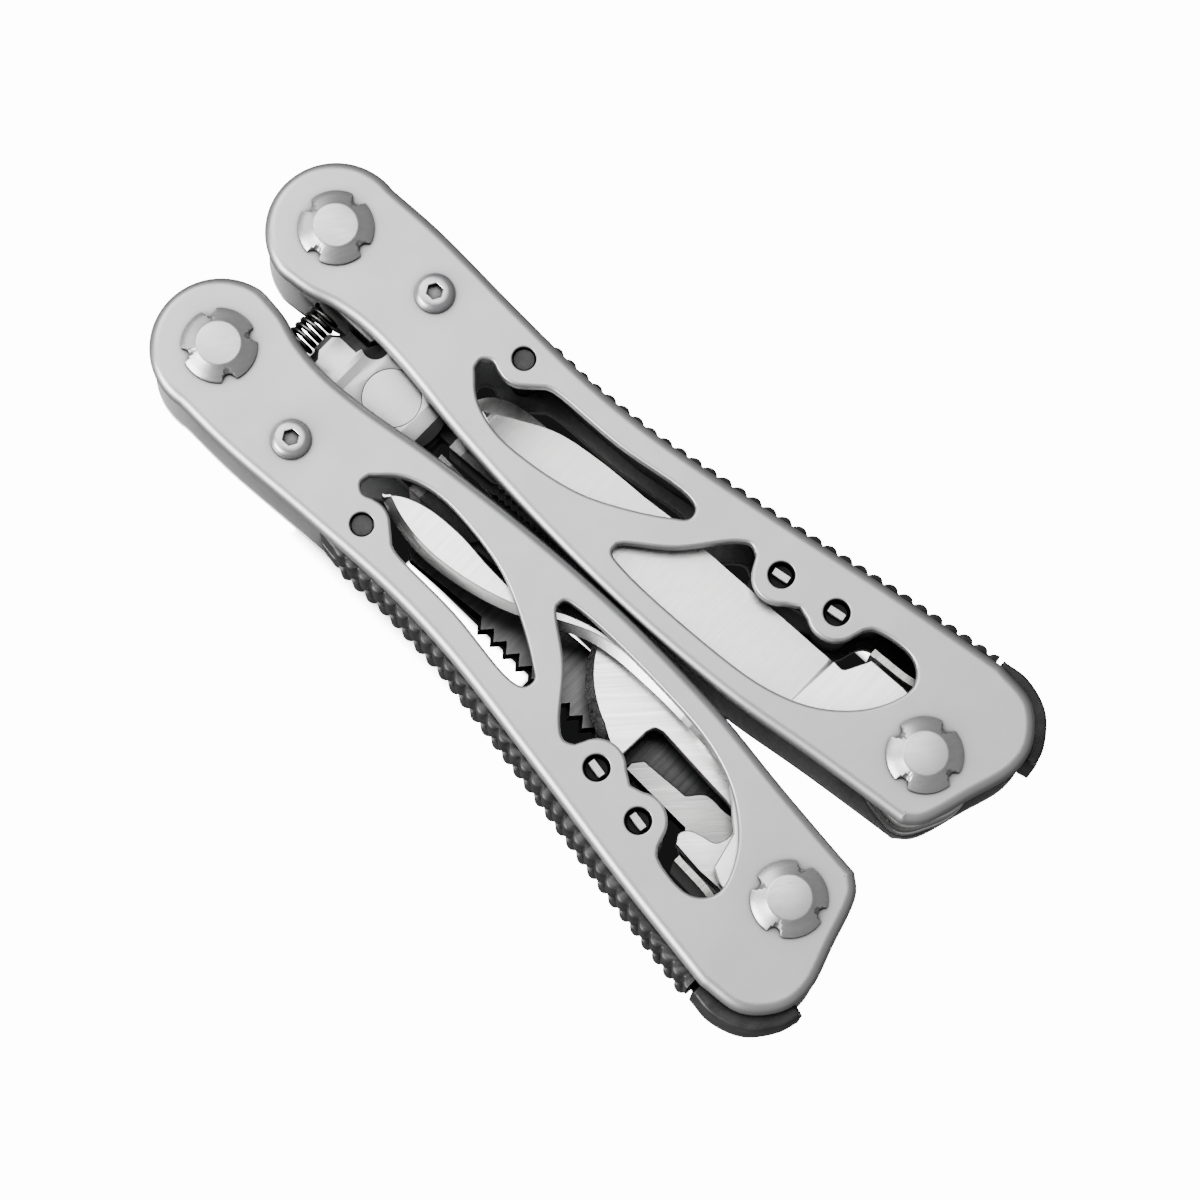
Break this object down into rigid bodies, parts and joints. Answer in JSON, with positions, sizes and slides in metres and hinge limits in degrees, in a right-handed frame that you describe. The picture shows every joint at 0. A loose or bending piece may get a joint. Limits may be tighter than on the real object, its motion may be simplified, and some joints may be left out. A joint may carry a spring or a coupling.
{
  "type": "folding multi tool",
  "caption": "Closed folding multi tool: sprung pliers between two skeleton side-plate handles with folding blades, drivers, openers and a saw.",
  "frame": {"origin": "centre of the closed tool's box, on the surface it rests on", "axes": "+Y along the handles towards the plier pivots, +X across both handles, +Z out of the front plates"},
  "size_m": [0.0488, 0.1008, 0.0164],
  "materials": {
    "satin_plate": "bead-blasted satin",
    "bright_bolt": "turned satin",
    "blade_steel": "brushed",
    "plier_steel": "satin",
    "dark_grip": "dark oxide, knurled",
    "black_pin": "black oxide",
    "spring_steel": "spring temper"
  },
  "bodies": {
    "left_half": {"plier_half_left": "plier_steel", "plier_rivet": "plier_steel", "coil_spring": "spring_steel"},
    "right_half": {"plier_half_right": "plier_steel"},
    "handle_left": {"front_plate_left": "satin_plate", "back_plate_left": "satin_plate", "arm_bolt_left": "bright_bolt", "arm_nut_left": "bright_bolt", "blade_bolt_left": "bright_bolt", "blade_nut_left": "bright_bolt", "spacer_screw_front_left": "bright_bolt", "spacer_screw_back_left": "bright_bolt", "spacer_barrel_left": "plier_steel", "grip_spine_left": "dark_grip", "anchor_pin_left": "black_pin", "grip_pin_a_left": "black_pin", "grip_pin_b_left": "black_pin", "lever_pin_left": "black_pin", "leaf_spring_left": "spring_steel", "washer_left_1": "spring_steel", "washer_left_2": "spring_steel", "washer_left_3": "spring_steel"},
    "lever_left": {"lock_lever_left": "dark_grip"},
    "pen_blade": {"pen_blade": "blade_steel"},
    "can_opener": {"can_opener": "blade_steel"},
    "bottle_hook": {"bottle_hook": "blade_steel"},
    "wood_saw": {"wood_saw": "blade_steel"},
    "handle_right": {"front_plate_right": "satin_plate", "back_plate_right": "satin_plate", "arm_bolt_right": "bright_bolt", "arm_nut_right": "bright_bolt", "blade_bolt_right": "bright_bolt", "blade_nut_right": "bright_bolt", "spacer_screw_front_right": "bright_bolt", "spacer_screw_back_right": "bright_bolt", "spacer_barrel_right": "plier_steel", "grip_spine_right": "dark_grip", "anchor_pin_right": "black_pin", "grip_pin_a_right": "black_pin", "grip_pin_b_right": "black_pin", "lever_pin_right": "black_pin", "leaf_spring_right": "spring_steel", "washer_right_1": "spring_steel", "washer_right_2": "spring_steel", "washer_right_3": "spring_steel"},
    "lever_right": {"lock_lever_right": "dark_grip"},
    "main_knife": {"main_knife": "blade_steel"},
    "flat_driver": {"flat_driver": "blade_steel"},
    "metal_file": {"metal_file": "blade_steel"},
    "serrated_knife": {"serrated_knife": "blade_steel"}
  },
  "joints": [
    {"name": "jaw_hinge", "type": "hinge", "parent": "left_half", "child": "right_half", "pos_m": [0, 0.02609, 0.0082], "axis": [0, 0, 1], "range_deg": [0, 6], "stiffness_Nm_per_rad": 0.3, "springref_deg": -8.59, "deforming": ["coil_spring"]},
    {"name": "fold_left", "type": "hinge", "parent": "left_half", "child": "handle_left", "pos_m": [-0.00892, 0.04279, 0.0082], "axis": [0, 0, -1], "range_deg": [0, 170]},
    {"name": "pen_blade_pivot", "type": "hinge", "parent": "handle_left", "child": "pen_blade", "pos_m": [-0.01043, -0.0412, 0.0082], "axis": [0, 0, -1], "range_deg": [0, 180]},
    {"name": "can_opener_pivot", "type": "hinge", "parent": "handle_left", "child": "can_opener", "pos_m": [-0.01043, -0.0412, 0.0082], "axis": [0, 0, -1], "range_deg": [0, 180]},
    {"name": "bottle_hook_pivot", "type": "hinge", "parent": "handle_left", "child": "bottle_hook", "pos_m": [-0.01043, -0.0412, 0.0082], "axis": [0, 0, -1], "range_deg": [0, 180]},
    {"name": "wood_saw_pivot", "type": "hinge", "parent": "handle_left", "child": "wood_saw", "pos_m": [-0.01043, -0.0412, 0.0082], "axis": [0, 0, -1], "range_deg": [0, 180]},
    {"name": "lever_left_rock", "type": "hinge", "parent": "handle_left", "child": "lever_left", "pos_m": [-0.02065, -0.04241, 0.0082], "axis": [0, 0, 1], "range_deg": [0, 3], "stiffness_Nm_per_rad": 0.05, "springref_deg": -1.15},
    {"name": "fold_right", "type": "hinge", "parent": "right_half", "child": "handle_right", "pos_m": [0.00892, 0.04279, 0.0082], "axis": [0, 0, 1], "range_deg": [0, 170]},
    {"name": "main_knife_pivot", "type": "hinge", "parent": "handle_right", "child": "main_knife", "pos_m": [0.01043, -0.0412, 0.0082], "axis": [0, 0, 1], "range_deg": [0, 180]},
    {"name": "flat_driver_pivot", "type": "hinge", "parent": "handle_right", "child": "flat_driver", "pos_m": [0.01043, -0.0412, 0.0082], "axis": [0, 0, 1], "range_deg": [0, 180]},
    {"name": "metal_file_pivot", "type": "hinge", "parent": "handle_right", "child": "metal_file", "pos_m": [0.01043, -0.0412, 0.0082], "axis": [0, 0, 1], "range_deg": [0, 180]},
    {"name": "serrated_knife_pivot", "type": "hinge", "parent": "handle_right", "child": "serrated_knife", "pos_m": [0.01043, -0.0412, 0.0082], "axis": [0, 0, 1], "range_deg": [0, 180]},
    {"name": "lever_right_rock", "type": "hinge", "parent": "handle_right", "child": "lever_right", "pos_m": [0.02065, -0.04241, 0.0082], "axis": [0, 0, -1], "range_deg": [0, 3], "stiffness_Nm_per_rad": 0.05, "springref_deg": -1.15}
  ],
  "couplings": [
    {"joint": "pen_blade_pivot", "follows": "fold_left", "ratio": 1.0588},
    {"joint": "can_opener_pivot", "follows": "fold_left", "ratio": 1.0588},
    {"joint": "bottle_hook_pivot", "follows": "fold_left", "ratio": 1.0588},
    {"joint": "wood_saw_pivot", "follows": "fold_left", "ratio": 1.0588},
    {"joint": "main_knife_pivot", "follows": "fold_right", "ratio": 1.0588},
    {"joint": "flat_driver_pivot", "follows": "fold_right", "ratio": 1.0588},
    {"joint": "metal_file_pivot", "follows": "fold_right", "ratio": 1.0588},
    {"joint": "serrated_knife_pivot", "follows": "fold_right", "ratio": 1.0588}
  ]
}
